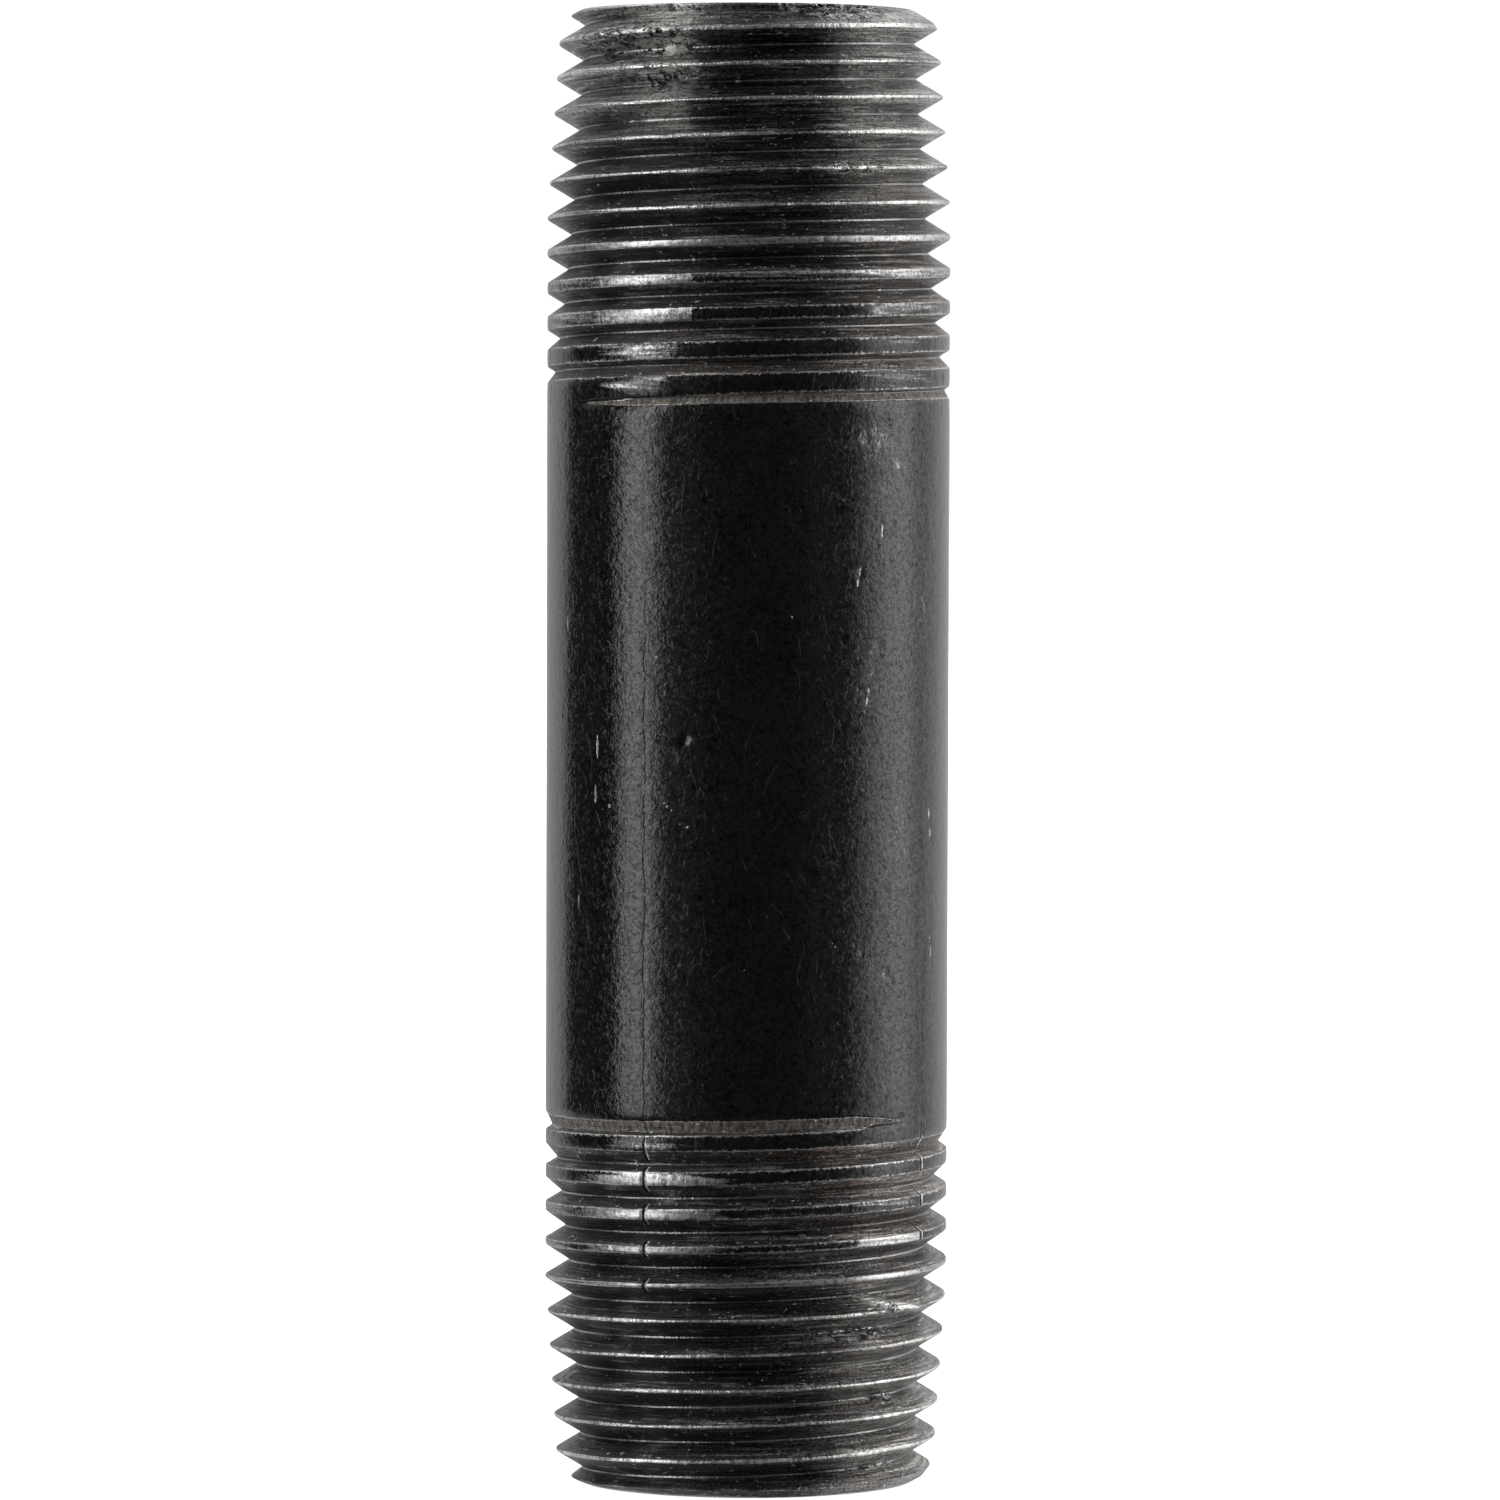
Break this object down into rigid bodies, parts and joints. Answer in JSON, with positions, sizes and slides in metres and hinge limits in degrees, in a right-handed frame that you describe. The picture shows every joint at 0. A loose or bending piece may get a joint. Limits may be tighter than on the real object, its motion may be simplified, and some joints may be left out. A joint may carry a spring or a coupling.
{
  "type": "threaded pipe nipple",
  "caption": "Straight steel pipe nipple with a tapered right-hand male pipe thread on both ends, a plain black-lacquered barrel and an open bore.",
  "frame": {"origin": "centre of the lower end face, on the pipe's axis", "axes": "+Z along the pipe's axis from the lower to the upper end; -Y is the side that faces the viewer"},
  "size_m": [0.021, 0.021, 0.0767],
  "materials": {
    "black_lacquer": "semi-gloss black lacquer over steel, with fine grain, handling scratches and small dents",
    "cut_steel": "as-cut dark steel with machining lines, burnished crests and a thin film of oil",
    "mill_scale": "dull dark mill scale"
  },
  "bodies": {
    "root": {"barrel": "black_lacquer", "upper_thread": "cut_steel", "lower_thread": "cut_steel", "weld_seam": "mill_scale"}
  },
  "joints": []
}
